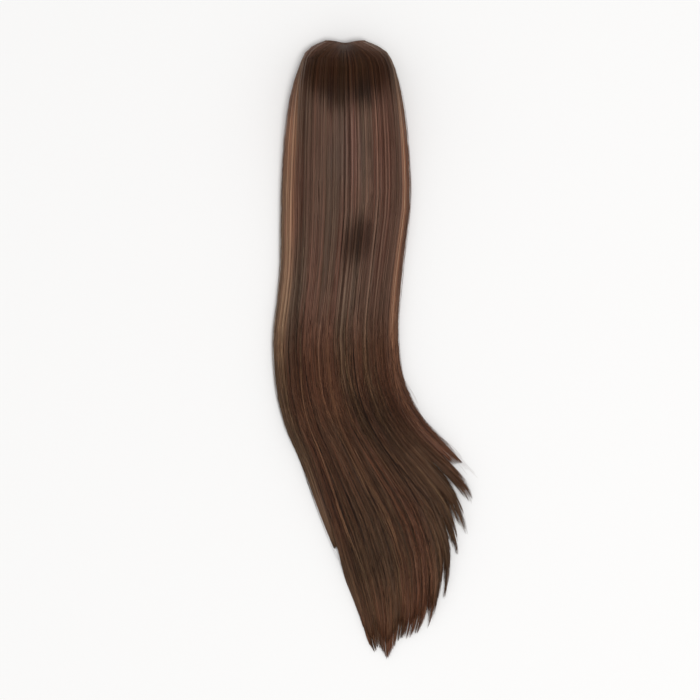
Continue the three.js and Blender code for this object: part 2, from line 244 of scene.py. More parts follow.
def lock_at(across):
    """The lock that a share across lies in, its middle, and the place in it from -1 to 1."""
    ends = LOCKS[:, 0]
    starts = np.concatenate([[0.0], ends[:-1]])
    i = np.clip(np.searchsorted(ends, across), 0, len(ends) - 1)
    middle = (starts[i] + ends[i]) / 2
    return i, middle, (across - middle) / ((ends[i] - starts[i]) / 2)


def lock_reach(across, tip, shorter):
    """How far along the hair reaches at a share across a layer."""
    i, middle, beside = lock_at(across)
    pointed = np.clip(1 - np.abs(beside), 0, 1) ** WEDGE_POWER
    border = mix(FRAY_LEFT, FRAY_RIGHT, smooth(across, 0.4, 0.95)) - shorter
    return mix(border, LOCKS[i, LOCK_COLUMNS.index(tip)], pointed)


middle_reach = lock_reach(np.array(0.5), "outer_tip", OUTER_SHORTER)
print("the outer layer reaches", round(float(middle_reach), 3), "of the length at its middle")

# %% [markdown]
# ## From a path to a strand
# Each strand is a closed tube with three sides, smooth-shaded so that it reads as round. A real fibre
# is much finer, so one tube stands for a small bundle. Its place in the colour map is set here too:
# the map's U picks the strand's shade and its place across, and V is how far along it we are. All the
# strands of one shade can share the same strip of the map, because their colour there is the same.

# %% Tubes in one mesh
SIDES = 3
SHADES = 8  # shades in a palette
BINS = 20  # places across that the colour map tells apart
MAP_COLUMNS = SHADES * BINS


def tube_corners(paths, radii):
    """Rings of corners round each point of each path."""
    tangent = np.gradient(paths, axis=1)
    tangent /= np.linalg.norm(tangent, axis=2, keepdims=True) + 1e-12
    side = np.cross(tangent, np.array([0.0, 0.0, 1.0]))
    side /= np.linalg.norm(side, axis=2, keepdims=True) + 1e-9
    up = np.cross(side, tangent)
    turns = np.arange(SIDES) * 2 * math.pi / SIDES + math.pi / 2
    ring = (
        np.cos(turns)[None, None, :, None] * side[:, :, None, :]
        + np.sin(turns)[None, None, :, None] * up[:, :, None, :]
    )
    return paths[:, :, None, :] + ring * radii[:, :, None, None]


def map_places(along, column):
    """Places in the colour map for the quads and the two end caps of each tube."""
    shape = (along.shape[0], along.shape[1] - 1, SIDES)
    centre = (column + 0.5) / MAP_COLUMNS
    edge = np.linspace(-0.35, 0.35, SIDES + 1) / MAP_COLUMNS
    near = np.broadcast_to((centre[:, None] + edge[:-1])[:, None, :], shape)
    far = np.broadcast_to((centre[:, None] + edge[1:])[:, None, :], shape)
    start = np.broadcast_to(along[:, :-1, None], shape)
    end = np.broadcast_to(along[:, 1:, None], shape)
    quads = np.stack([
        np.stack([near, far, far, near], axis=-1),
        np.stack([start, start, end, end], axis=-1),
    ], axis=-1)
    cap_u = np.broadcast_to((centre[:, None] + edge[:SIDES])[:, None, :], (along.shape[0], 2, SIDES))
    cap_v = along[:, [0, -1]][:, :, None] + np.array([0.0, 0.002, 0.0])
    caps = np.stack([cap_u, cap_v], axis=-1)
    return np.clip(np.concatenate([quads.reshape(-1, 2), caps.reshape(-1, 2)]), 0.0, 1.0)


def tube_mesh(name, strands):
    """One smooth mesh of closed tubes from a dictionary of laid strands."""
    corners = tube_corners(strands["paths"], strands["radii"])
    count, points = strands["radii"].shape
    index = np.arange(count * points * SIDES).reshape(count, points, SIDES)
    turned = np.roll(index, -1, axis=2)
    quads = np.stack([index[:, :-1], turned[:, :-1], turned[:, 1:], index[:, 1:]], axis=-1)
    caps = np.stack([index[:, 0, ::-1], index[:, -1]], axis=1)
    corner_ids = np.concatenate([quads.reshape(-1), caps.reshape(-1)])
    quad_starts = np.arange(quads.size // 4) * 4
    cap_starts = quads.size + np.arange(caps.size // SIDES) * SIDES
    starts = np.concatenate([quad_starts, cap_starts])

    mesh = bpy.data.meshes.new(name)
    mesh.vertices.add(corners.size // 3)
    mesh.vertices.foreach_set("co", corners.reshape(-1).astype(np.float32))
    mesh.loops.add(len(corner_ids))
    mesh.loops.foreach_set("vertex_index", corner_ids.astype(np.int32))
    mesh.polygons.add(len(starts))
    mesh.polygons.foreach_set("loop_start", starts.astype(np.int32))
    mesh.update(calc_edges=True)
    mesh.shade_smooth()
    places = map_places(strands["along"], strands["column"])
    colour_map = mesh.uv_layers.new(name="OFBake")
    colour_map.data.foreach_set("uv", places.reshape(-1).astype(np.float32))
    return mesh


print("a strand of 30 points has", 29 * SIDES * 2 + 2, "triangles")

# %% [markdown]
# ## From clumps to paths
# Hair never lies as single even fibres. It gathers in clumps a few millimetres wide that swell in the
# middle, wander a little and close up towards their tips. Each clump here has its own centre line,
# height, shade and length, and its strands spread round that line. Hair that falls straight from the
# crown wanders most in its lower half, so the wandering grows on the way down.

# %% Rows along a strand
BELOW_EDGE = np.array([-0.020, -0.012, -0.006, -0.002, -0.0003])  # on the underside of the head
OVER_EDGE = np.array([0.0, 0.002, 0.005, 0.010, 0.018, 0.030, 0.045, 0.065, 0.090])
EVEN_FROM = 0.12
EVEN_ROWS = 16
TIP_TAPER = 0.030  # share of the length in which a strand gets thin
TIP_ROWS = np.array([0.012, 0.0])  # before the end
STRAND_RADIUS = 0.0003


def rows_along(start, end, wraps):
    """Shares along for each strand, closer together at the head. Below the edge they are negative."""
    tip = end[:, None] - TIP_ROWS
    if not wraps:
        even = mix(start[:, None], end[:, None] - TIP_TAPER, np.linspace(0, 1, EVEN_ROWS + 2)[None, :])
        return np.concatenate([even, tip], axis=1)
    head = np.concatenate([BELOW_EDGE, OVER_EDGE])
    head = np.broadcast_to(head, (len(end), len(head)))
    even = mix(EVEN_FROM, end[:, None] - TIP_TAPER, np.linspace(0, 1, EVEN_ROWS)[None, :])
    return np.concatenate([head, even, tip], axis=1)


def points_over(across, rows, lift, share=1.0):
    """Points at a height of lift over the outer surface, for shares across and rows along."""
    over, out = outer_surface(across, np.abs(rows), share)
    place = over + out * lift[..., None]
    x, y, down = plan_point(across, np.abs(rows))
    forward = np.clip(1 - down / NOSE_RUN, 0, 1)
    under = np.stack([x, y + forward * lift, underside_height(down) - lift / 2], axis=-1)
    place = np.where((rows < 0)[..., None], under, place)
    place[..., 2] = np.maximum(place[..., 2], STRAND_RADIUS)
    return place


full_rows = len(BELOW_EDGE) + len(OVER_EDGE) + EVEN_ROWS + len(TIP_ROWS)
print("a strand from the head has", full_rows, "rows")

# %% How clumps wander
WAVE_PACES = np.array([1.0, 2.0, 3.5])  # how often each wave goes over the whole length
WAVE_STRENGTHS = (1.0, 0.6, 0.35)
OWN_WAVE = 0.2  # of a single strand, in shares of a clump
CALM_SHARE = 0.35  # of the waves, near the head
WAVES_GROW = (0.35, 0.8)  # shares along between which the waves grow


def wander_of(rng, clumps, rows, owner, sway):
    """Slow sideways waves of whole clumps and small ones of each strand, in shares of a clump."""
    phase = rng.uniform(0, 2 * math.pi, (clumps, 3))[owner]
    pace = (rng.uniform(0.6, 1.6, (clumps, 3)) * WAVE_PACES)[owner]
    wander = np.zeros_like(rows)
    for wave, strength in enumerate(WAVE_STRENGTHS):
        wander += strength * np.sin(2 * math.pi * pace[:, wave, None] * rows + phase[:, wave, None])
    own_phase = rng.uniform(0, 2 * math.pi, (len(rows), 1))
    own_pace = rng.uniform(1.5, 4.0, (len(rows), 1))
    own = np.sin(2 * math.pi * own_pace * rows + own_phase)
    return (sway * wander + OWN_WAVE * own) * mix(CALM_SHARE, 1.0, smooth(rows, *WAVES_GROW))


print("the strongest wave of a clump is", WAVE_STRENGTHS[0], "times its sway")

# %% Lay strands in clumps
CLUMP_HALF = 0.58  # half width of a clump, in shares of the distance between clumps
SHORTEST = 0.1  # share of the length that each strand has at least
CLOSED_SHARE = 0.7  # of its width that a clump keeps at its tip
CLOSING_RUN = 0.06
GATHER_RUN = 0.09
HEAD_LIFT = (0.3, 0.05)  # share of the lift at the head, and the run in which it grows
TIP_LIFT = (0.4, 0.10)
LOWER_LIFT = 1.8  # times the lift in the lower half
LOWER_FROM = 0.45
LOWER_TO = 0.70
SINK_RUN = 0.06
SETTLED = 0.0003  # how far single strands lie below their clump
MIDDLE_SHADE = (SHADES - 1) / 2


def lay_clumps(seed, clumps, each, to_across, reach, start=0.0, wraps=False, share=1.0, thick=1.0,
               height=0.0004, bulge=0.0005, sway=0.2, short=0.012, gather=0.0, shades=(0.9, 1.2),
               lighter=0.0, start_spread=0.004, sink=0.0, deeper=0.0):
    """Strands in clumps across one layer, as a dictionary of arrays with a row for each strand.

    to_across turns a place across the layer, from 0 to 1, and a share along into a share across the
    fall. reach says how far along the hair goes at a place. height and bulge lift the clumps, sway moves
    them sideways, short cuts strands back at random, and gather draws tips to the middle of their lock.
    shades spreads the shades of clumps and of strands. sink hides where a strand starts, and deeper
    lays all of it below the surface.
    """
    rng = np.random.default_rng(seed)
    count = clumps * each
    owner = np.repeat(np.arange(clumps), each)
    middle = ((np.arange(clumps) + 0.5 + rng.uniform(-0.6, 0.6, clumps)) / clumps)[owner]
    beside = rng.uniform(-1, 1, count) * rng.uniform(0.5, 1, count) ** 0.5
    half_width = CLUMP_HALF * rng.uniform(0.6, 1.3, clumps)[owner] / clumps
    home = np.clip(middle + half_width * beside, 0.0, 1.0)

    end = np.maximum(reach(home) - np.abs(rng.normal(0, short, count)), start + SHORTEST)
    begin = start + rng.uniform(0, start_spread, count)
    rows = rows_along(begin, end, wraps)
    to_tip = end[:, None] - rows
    spread = mix(CLOSED_SHARE, 1.0, smooth(to_tip, 0.0, CLOSING_RUN))
    place = middle[:, None] + (half_width * beside)[:, None] * spread
    place = place + wander_of(rng, clumps, rows, owner, sway) / clumps
    pull = gather * (1 - smooth(to_tip, 0.0, GATHER_RUN))
    place = mix(place, lock_at(home)[1][:, None], pull)
    across = to_across(np.clip(place, 0.0, 1.0), np.abs(rows))

    lift = rng.normal(0, height, clumps)[owner] + bulge * (1 - beside**2)
    lift = lift - np.abs(rng.normal(0, SETTLED, count))
    lift = lift[:, None] * mix(HEAD_LIFT[0], 1.0, smooth(rows, 0, HEAD_LIFT[1]))
    lift = lift * mix(TIP_LIFT[0], 1.0, smooth(to_tip, 0.0, TIP_LIFT[1]))
    start_sink = sink * (1 - smooth(rows - begin[:, None], 0.0, SINK_RUN))
    lift = lift * mix(1.0, LOWER_LIFT, smooth(rows, LOWER_FROM, LOWER_TO)) - start_sink - deeper
    radius = STRAND_RADIUS * thick * rng.uniform(0.7, 1.2, count)[:, None]
    shade = MIDDLE_SHADE + lighter + rng.normal(0, shades[0], clumps)[owner] + rng.normal(0, shades[1], count)
    at_bin = np.clip(across[:, EVEN_ROWS] * BINS + rng.normal(0, 0.5, count), 0, BINS - 1)
    return {
        "paths": points_over(across, rows, lift, share),
        "radii": radius * mix(0.25, 1.0, smooth(to_tip, 0.0, TIP_TAPER)),
        "along": np.abs(rows),
        "column": np.floor(at_bin) * SHADES + np.clip(np.round(shade), 0, SHADES - 1),
    }


print("strands get shades round", MIDDLE_SHADE, "of", SHADES)

# %% Lay loose hairs
LOOSE_ROWS = 10
LOOSE_LIFT = 0.0004


def lay_loose(seed, count, across_from, across_to, begin_from, begin_to, length, stand, drift=0.0,
              thick=0.4):
    """Single fine hairs that leave the others in a long low arc, between two shares across."""
    rng = np.random.default_rng(seed)
    run = np.linspace(0, 1, LOOSE_ROWS)[None, :]
    begin = rng.uniform(begin_from, begin_to, count)[:, None]
    rows = begin + rng.uniform(0.5, 1.0, (count, 1)) * length * run
    across = rng.uniform(across_from, across_to, count)[:, None] + rng.normal(0, drift, (count, 1)) * run**2
    arc = np.sin(rng.uniform(0.5, 1.0, (count, 1)) * math.pi * run)
    lift = LOOSE_LIFT + rng.uniform(0.2, 1.0, (count, 1)) * stand * arc
    shade = rng.integers(2, SHADES, count)
    at_bin = np.clip(across[:, 0] * BINS, 0, BINS - 1)
    return {
        "paths": points_over(across, rows, lift),
        "radii": STRAND_RADIUS * thick * mix(0.4, 1.0, np.sin(math.pi * run)) * np.ones_like(rows),
        "along": np.clip(rows, 0.0, 1.0),
        "column": np.floor(at_bin) * SHADES + shade,
    }


print("a loose hair has", LOOSE_ROWS, "rows")

# %% Turn strands into a piece
def hair_piece(name, strands, finish):
    """An object made of laid strands, which rides with the hairpiece."""
    mesh = tube_mesh(name, strands)
    mesh.materials.append(finish)
    piece = bpy.data.objects.new(name, mesh)
    bpy.context.scene.collection.objects.link(piece)
    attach(piece, "root")
    count, points = strands["radii"].shape
    print(name, ":", count, "strands,", count * ((points - 1) * SIDES * 2 + 2), "triangles")
    return piece


print("each piece rides with root and takes one finish")

# %% [markdown]
# ## The colour of the hair
# Brown hair is not one brown. Cool, red, olive and golden fibres lie side by side. Painted shade darkens
# the hair where it turns away from the light, at the front of the crown and lower down where the fall turns,
# and a painted highlight lightens its upper middle. The palette gives eight shades. The shade of a strand
# comes from its strip of the colour map, and soft spots in the same map paint shade or highlight onto a
# region, or tint it. Nothing here depends on the camera, so the colours stay on the hair from any side.

# %% Helpers for materials
def linear(red, green, blue):
    """A display colour of 0 to 255 as the linear colour that a shader takes."""
    def one(value):
        value /= 255
        return value / 12.92 if value <= 0.04045 else ((value + 0.055) / 1.055) ** 2.4
    return one(red), one(green), one(blue), 1.0


def new_material(name):
    material = bpy.data.materials.new(name)
    material.use_nodes = True
    return material, material.node_tree, material.node_tree.nodes["Principled BSDF"]


def put(tree, kind, settings=(), **links):
    """A node with its settings, and its inputs by number: i0=0.5 sets a value and i0=socket links one."""
    made = tree.nodes.new(kind)
    for key, value in dict(settings).items():
        setattr(made, key, value)
    for key, value in links.items():
        target = made.inputs[int(key[1:])]
        if isinstance(value, bpy.types.NodeSocket):
            tree.links.new(value, target)
        else:
            target.default_value = value
    return made.outputs[0]


def sums(tree, operation, a, b=0.0, c=0.0):
    return put(tree, "ShaderNodeMath", {"operation": operation}, i0=a, i1=b, i2=c)


def vectors(tree, operation, a, b=(0.0, 0.0, 0.0)):
    return put(tree, "ShaderNodeVectorMath", {"operation": operation}, i0=a, i1=b)


def scaled(tree, vector, scale):
    return put(tree, "ShaderNodeVectorMath", {"operation": "SCALE"}, i0=vector, i3=scale)


def palette_ramp(tree, palette, shade):
    """A ramp of plain steps through a palette, by a shade from 0 to 1."""
    ramp = tree.nodes.new("ShaderNodeValToRGB")
    ramp.color_ramp.interpolation = "CONSTANT"
    stops = ramp.color_ramp.elements
    stops.remove(stops[-1])
    stops[0].position = 0.0
    stops[0].color = linear(*palette[0])
    for i in range(1, len(palette)):
        stops.new(i / len(palette)).color = linear(*palette[i])
    tree.links.new(shade, ramp.inputs[0])
    return ramp.outputs[0]


print("a mid brown in a shader is", [round(part, 3) for part in linear(110, 84, 70)[:3]])

# %% The hair's palettes and its regions of painted shade, painted highlight and tint
# The lightest shade of each palette is light fibre and also painted highlight, for glints on single strands.
BROWN = [
    (54, 33, 22), (86, 57, 44), (97, 73, 57), (103, 72, 58),
    (110, 84, 70), (119, 84, 67), (128, 98, 80), (150, 120, 100),
]
CARAMEL = [
    (100, 70, 53), (114, 83, 64), (126, 92, 71), (136, 98, 76),
    (142, 106, 84), (150, 112, 88), (160, 123, 98), (180, 144, 118),
]
FADE_FROM = 0.40  # from here to there along, the caramel turns brown and the streaks get stronger
FADE_TO = 0.62

# A region: its place across and along, its half sizes, the share of it that is full, and its tint. Most
# regions are painted shade or painted highlight, where the hair turns from or towards the light; the
# others darken, lighten or tint a region.
REGIONS = {
    # painted shade: the front of the crown turns away from the light, with two slits of painted shade below
    # it
    "shaded front of the crown": (0.515, 0.050, 0.52, 0.074, 0.62, (0.30, 0.215, 0.125)),
    "shaded slit under it": (0.37, 0.090, 0.06, 0.035, 0.30, (0.60, 0.56, 0.52)),
    "another shaded slit": (0.66, 0.080, 0.10, 0.030, 0.30, (0.55, 0.50, 0.45)),
    # a painted highlight on the edge of the dip, and painted shade in the curl to its left
    "highlight on the dip's edge": (0.50, 0.003, 0.36, 0.008, 0.30, (1.25, 1.30, 1.42)),
    "shade at the dip's left side": (0.18, 0.000, 0.12, 0.008, 0.30, (0.45, 0.42, 0.40)),
    # a painted highlight over the upper middle, cooler and stronger at its middle
    "upper painted highlight": (0.50, 0.190, 0.55, 0.110, 0.30, (1.06, 1.04, 1.07)),
    "middle of the upper painted highlight": (0.50, 0.170, 0.20, 0.085, 0.30, (1.06, 1.09, 1.18)),
    # a spot of painted shade
    "shaded spot": (0.61, 0.322, 0.18, 0.058, 0.30, (0.34, 0.245, 0.17)),
    "lower half": (0.50, 1.000, 5.00, 0.600, 0.80, (0.69, 0.58, 0.435)),
    # painted shade where the fall turns
    "shade at the fall's turn": (0.66, 0.615, 0.38, 0.080, 0.30, (0.68, 0.63, 0.55)),
    "streak at the left": (0.19, 0.500, 0.07, 0.100, 0.30, (0.62, 0.58, 0.52)),
    # painted shade along the seam between the left lock and the middle layers
    "shade along the left seam": (0.13, 0.250, 0.05, 0.250, 0.50, (0.80, 0.76, 0.70)),
    "left foot": (0.00, 0.250, 0.045, 0.400, 0.70, (0.97, 0.89, 0.82)),
    "right foot": (1.00, 0.250, 0.045, 0.400, 0.70, (0.84, 0.74, 0.66)),
    "head of a lock": (0.50, 0.000, 5.00, 0.150, 0.30, (0.62, 0.60, 0.58)),
    "tips": (0.50, 1.000, 5.00, 0.200, 0.30, (1.25, 1.18, 1.16)),
}


def region_tint(tree, here, region):
    """A tint to multiply with, which is 1 outside its region."""
    at_across, at_along, wide, long, full, tint = region
    away = vectors(tree, "SUBTRACT", here, (at_across, at_along, 0.0))
    away = vectors(tree, "MULTIPLY", away, (1 / wide, 1 / long, 0.0))
    length = vectors(tree, "LENGTH", away).node
    near = put(tree, "ShaderNodeMapRange", {"interpolation_type": "SMOOTHSTEP"},
               i0=length.outputs["Value"], i1=1.0, i2=full, i3=0.0, i4=1.0)
    change = scaled(tree, tuple(one - 1 for one in tint), near)
    return vectors(tree, "ADD", change, (1.0, 1.0, 1.0))


print(len(REGIONS), "regions")

# %% The hair's finishes
RAGGED_PACE = (400.0, 4.0, 1.0)  # of the noise across and along the colour map
RAGGED = 0.09  # how far it moves the borders of the regions, in shares of the length
TINGE_PACE = (9.0, 3.0, 1.0)
TINGE = (0.10, -0.03, -0.03)  # how far patches go to red or away from it
STREAK_PACE = (900.0, 11.0, 1.0)
STREAK_UPPER = 1.4  # contrast of the streaks
STREAK_LOWER = 3.0
DARKEST_STREAK = 0.15
HAIR_SPECULAR = 0.15


def noise_at(tree, place, pace, detail):
    """Flat noise at a place on the colour map."""
    stretched = vectors(tree, "MULTIPLY", place, pace)
    return put(tree, "ShaderNodeTexNoise", {"noise_dimensions": "2D"}, i0=stretched, i2=1.0, i3=detail)


def hair_material(name, upper, lower, regions, roughness=0.45):
    """Hair of one palette above and one below, with its regions of painted shade, painted highlight and tint,
    red or olive patches and streaks.
    """
    material, tree, shader = new_material(name)
    place = put(tree, "ShaderNodeUVMap", {"uv_map": "OFBake"})
    split = put(tree, "ShaderNodeSeparateXYZ", i0=place).node
    bins = sums(tree, "MULTIPLY", split.outputs[0], float(BINS))
    shade = sums(tree, "FRACT", bins)
    across = sums(tree, "DIVIDE", sums(tree, "ADD", sums(tree, "FLOOR", bins), 0.5), float(BINS))
    along = split.outputs[1]

    patch = noise_at(tree, place, RAGGED_PACE, 1.0)
    ragged = sums(tree, "MULTIPLY_ADD", sums(tree, "SUBTRACT", patch, 0.5), RAGGED, along)
    here = put(tree, "ShaderNodeCombineXYZ", i0=across, i1=ragged)

    top = palette_ramp(tree, upper, shade)
    low = palette_ramp(tree, lower, shade)
    fade = put(tree, "ShaderNodeMapRange", {"interpolation_type": "SMOOTHSTEP"},
               i0=ragged, i1=FADE_FROM, i2=FADE_TO)
    colour = vectors(tree, "ADD", top, scaled(tree, vectors(tree, "SUBTRACT", low, top), fade))
    for region in regions:
        colour = vectors(tree, "MULTIPLY", colour, region_tint(tree, here, REGIONS[region]))

    drift = noise_at(tree, here, TINGE_PACE, 1.0)
    away = put(tree, "ShaderNodeMapRange", i0=drift, i1=0.35, i2=0.65, i3=-1.0, i4=1.0)
    tinge = vectors(tree, "ADD", scaled(tree, TINGE, away), (1.0, 1.0, 1.0))
    colour = vectors(tree, "MULTIPLY", colour, tinge)

    streak = noise_at(tree, place, STREAK_PACE, 2.0)
    contrast = put(tree, "ShaderNodeMapRange",
                   i0=along, i1=FADE_FROM, i2=FADE_TO, i3=STREAK_UPPER, i4=STREAK_LOWER)
    change = sums(tree, "MULTIPLY_ADD", sums(tree, "SUBTRACT", streak, 0.5), contrast, 1.0)
    colour = scaled(tree, colour, sums(tree, "MAXIMUM", change, DARKEST_STREAK))
    tree.links.new(colour, shader.inputs["Base Color"])
    shader.inputs["Roughness"].default_value = roughness
    shader.inputs["Specular IOR Level"].default_value = HAIR_SPECULAR
    return material


LOCK_REGIONS = ["left foot", "right foot", "head of a lock"]  # on the caramel locks only
BROWN_REGIONS = [name for name in REGIONS if name not in LOCK_REGIONS]
CARAMEL_REGIONS = ["shade along the left seam"] + LOCK_REGIONS + ["lower half", "tips"]
brown_hair = hair_material("brown_hair", BROWN, BROWN, BROWN_REGIONS)
caramel_hair = hair_material("caramel_hair", CARAMEL, BROWN, CARAMEL_REGIONS, roughness=0.40)
print("two hair finishes with", len(BROWN), "shades each")

# %% [markdown]
# ## The claw clip and the saddle
# The clip is moulded plastic, near black and glossy, with faint flow marks and the fine scratches of a
# thing that is handled. The saddle is a close plain weave. Both lie under the hair and show only from
# below, so their finishes are made from noise and waves at their real scale, on the solids themselves.

# %% Finishes of the clip and the saddle
CLIP_COLOUR = (0.020, 0.017, 0.016)
FLOW_PACE = (80.0, 250.0, 80.0)  # per metre, drawn out along the clip
SCRATCH_PACE = (300.0, 4000.0, 900.0)
SCRATCH_DEPTH = 0.0001
SADDLE_COLOUR = (0.045, 0.030, 0.024)
THREAD_PITCH = 0.0009
THREAD_DEPTH = 0.0002
WORN_PACE = 400.0  # per metre


def moulded_plastic():
    material, tree, shader = new_material("moulded_plastic")
    place = put(tree, "ShaderNodeTexCoord").node.outputs["Object"]
    flow = put(tree, "ShaderNodeTexNoise", i0=vectors(tree, "MULTIPLY", place, FLOW_PACE), i2=1.0)
    scratch = put(tree, "ShaderNodeTexNoise", i0=vectors(tree, "MULTIPLY", place, SCRATCH_PACE), i2=1.0)
    tone = put(tree, "ShaderNodeMapRange", i0=flow, i1=0.3, i2=0.7, i3=0.8, i4=1.3)
    colour = scaled(tree, CLIP_COLOUR, tone)
    tree.links.new(colour, shader.inputs["Base Color"])
    rough = put(tree, "ShaderNodeMapRange", i0=scratch, i1=0.45, i2=0.75, i3=0.22, i4=0.45)
    tree.links.new(rough, shader.inputs["Roughness"])
    bump = put(tree, "ShaderNodeBump", i0=0.3, i1=SCRATCH_DEPTH)
    tree.links.new(scratch, bump.node.inputs["Height"])
    tree.links.new(bump, shader.inputs["Normal"])
    return material


def woven_cloth():
    material, tree, shader = new_material("woven_cloth")
    place = put(tree, "ShaderNodeTexCoord").node.outputs["Object"]
    split = put(tree, "ShaderNodeSeparateXYZ", i0=place).node
    pace = 2 * math.pi / THREAD_PITCH
    warp = sums(tree, "SINE", sums(tree, "MULTIPLY", split.outputs[0], pace))
    slope = sums(tree, "ADD", split.outputs[1], split.outputs[2])
    weft = sums(tree, "SINE", sums(tree, "MULTIPLY", slope, pace))
    height = sums(tree, "MULTIPLY_ADD", sums(tree, "MULTIPLY", warp, weft), 0.5, 0.5)
    worn = put(tree, "ShaderNodeTexNoise", i0=place, i2=WORN_PACE)
    # The tone follows the weave's height, which paints shade into the hollows between threads; the worn noise
    # varies it at random.
    tone = sums(tree, "MULTIPLY_ADD", height, 0.5, sums(tree, "MULTIPLY_ADD", worn, 0.6, 0.5))
    colour = scaled(tree, SADDLE_COLOUR, tone)
    tree.links.new(colour, shader.inputs["Base Color"])
    shader.inputs["Roughness"].default_value = 0.85
    shader.inputs["Specular IOR Level"].default_value = 0.2
    bump = put(tree, "ShaderNodeBump", i0=0.8, i1=THREAD_DEPTH)
    tree.links.new(height, bump.node.inputs["Height"])
    tree.links.new(bump, shader.inputs["Normal"])
    return material


for node, finish in (("claw_clip", moulded_plastic()), ("weft_saddle", woven_cloth())):
    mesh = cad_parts[node].data
    mesh.materials.clear()
    mesh.materials.append(finish)
    mesh.polygons.foreach_set("material_index", np.zeros(len(mesh.polygons), dtype=np.int32))
    print(node, "is of", finish.name)

# %% [markdown]
# ## The body under the strands
# Between the visible strands one sees more hair, not daylight. A dark copy of each hair solid, drawn in
# by a millimetre or two, fills that depth, and it keeps the hollow for the clip. Its darkness is painted
# shade, for hair that lies deep among the others. It is drawn back from the tips too, where the real hair
# thins out to single strands. From above, its streaked finish shows only as shadow between the strands.

# %% The hair below the surface, in painted shade
DRAWN_IN = 0.0016
DRAWN_BACK = 0.055  # share of the length by which the body ends before the tips
NARROWED = 0.04  # share of the width, and as much again at the tips
SPREAD_FROM = 0.45  # from here to there along, both grow to their full amount
SPREAD_TO = 0.72
# The core's colours are painted shade: darker than any strand, for hair that lies in the depth.
SHADED_CORE_DARK = (30, 18, 12)
SHADED_CORE_LIGHT = (60, 41, 31)
DEEP_PACE = (900.0, 20.0, 300.0)  # per metre, drawn out along the hair


def shaded_core_hair_material():
    material, tree, shader = new_material("shaded_core_hair")
    place = put(tree, "ShaderNodeTexCoord")
    stretched = vectors(tree, "MULTIPLY", place.node.outputs["Object"], DEEP_PACE)
    streak = put(tree, "ShaderNodeTexNoise", i0=stretched, i2=1.0, i3=4.0)
    ramp = tree.nodes.new("ShaderNodeValToRGB")
    ramp.color_ramp.elements[0].position = 0.35
    ramp.color_ramp.elements[0].color = linear(*SHADED_CORE_DARK)
    ramp.color_ramp.elements[1].position = 0.7
    ramp.color_ramp.elements[1].color = linear(*SHADED_CORE_LIGHT)
    tree.links.new(streak, ramp.inputs[0])
    tree.links.new(ramp.outputs[0], shader.inputs["Base Color"])
    shader.inputs["Roughness"].default_value = 0.7
    shader.inputs["Specular IOR Level"].default_value = 0.1
    bump = tree.nodes.new("ShaderNodeBump")
    bump.inputs["Strength"].default_value = 0.6
    bump.inputs["Distance"].default_value = 0.0006
    tree.links.new(streak, bump.inputs["Height"])
    tree.links.new(bump.outputs[0], shader.inputs["Normal"])
    return material


shaded_core_hair = shaded_core_hair_material()


def shares_of(x, y):
    """The shares across and along of a place on the table, found by a few rounds of correction."""
    along = (head_y - y) / FALL_LENGTH
    for _ in range(40):
        left = curves["left_x"](along)
        across = ((x - centre_x) / FALL_WIDTH - left) / (curves["right_x"](along) - left)
        down = mix(curves["left_y"](along), curves["right_y"](along), across) * FALL_LENGTH
        along = np.clip(along + 0.6 * (head_y - y - down) / FALL_LENGTH, 0, 1)
    return across, along


def core_of(node, share):
    """A copy of a solid, drawn in and back from the tips, that stands for it under its strands."""
    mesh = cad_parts[node].data.copy()
    mesh.name = node + "_core"
    normals = np.zeros(len(mesh.vertices) * 3)
    mesh.vertices.foreach_get("normal", normals)
    places = np.zeros_like(normals)
    mesh.vertices.foreach_get("co", places)
    places = (places - DRAWN_IN * normals).reshape(-1, 3)
    across, along = shares_of(places[:, 0], places[:, 1])
    spread = smooth(along, SPREAD_FROM, SPREAD_TO)
    back = along - DRAWN_BACK * spread
    inner = 0.5 + (across - 0.5) * (1 - NARROWED - NARROWED * spread)
    old_x, old_y, _ = plan_point(across, along)
    new_x, new_y, _ = plan_point(inner, back)
    places[:, 0] += new_x - old_x
    places[:, 1] += new_y - old_y
    ceiling = outer_surface(inner, back, share)[0][:, 2] - DRAWN_IN
    places[:, 2] = np.maximum(np.minimum(places[:, 2], ceiling), STRAND_RADIUS)
    mesh.vertices.foreach_set("co", places.reshape(-1))
    mesh.materials.clear()
    mesh.materials.append(shaded_core_hair)
    piece = bpy.data.objects.new(node + "_core", mesh)
    bpy.context.scene.collection.objects.link(piece)
    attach(piece, "root")
    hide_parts(node)
    return piece


for node, slot, share in (
    ("crown_layer", "brown_hair", 1.0),
    ("under_layer", "deep_brown_hair", LAYER_SHARE),
    ("left_lock", "caramel_hair", 1.0),
    ("right_lock", "caramel_hair", 1.0),
):
    core = core_of(node, share)
    print(core.name, len(core.data.polygons), "faces")

# %% [markdown]
# ## The crown layer
# This is the hair that shows most. It comes up from the underside of the head, goes over the domed
# crown and runs down to the tips. A base pass covers it evenly, a second pass lies higher and wanders
# more, and a last pass of finer strands, three at a time, breaks up the clumps.

# %% Lay the crown layer
FAN_START = 0.45  # how close together the strands are at the edge
FAN_RUN = 0.035
EDGE_POWER = 6  # the higher it is, the closer to the border the strands still take part in the fan
LOCK_HEAD = 0.035  # how wide a side lock is at the head, as a share across
LOCK_HEAD_FROM = 0.06  # from here to there along, the table's width takes over
LOCK_HEAD_TO = 0.10
BORDER_GAP = 0.2 * LOCK_GAP  # between the middle layers and a side lock


def fanned(place, rows):
    """Shares drawn towards the dip at the head's edge, from where the strands fan out."""
    side = 2 * place - 1
    narrow = mix(FAN_START, 1.0, smooth(rows, 0, FAN_RUN))
    return 0.5 + 0.5 * side * mix(narrow, 1.0, np.abs(side) ** EDGE_POWER)


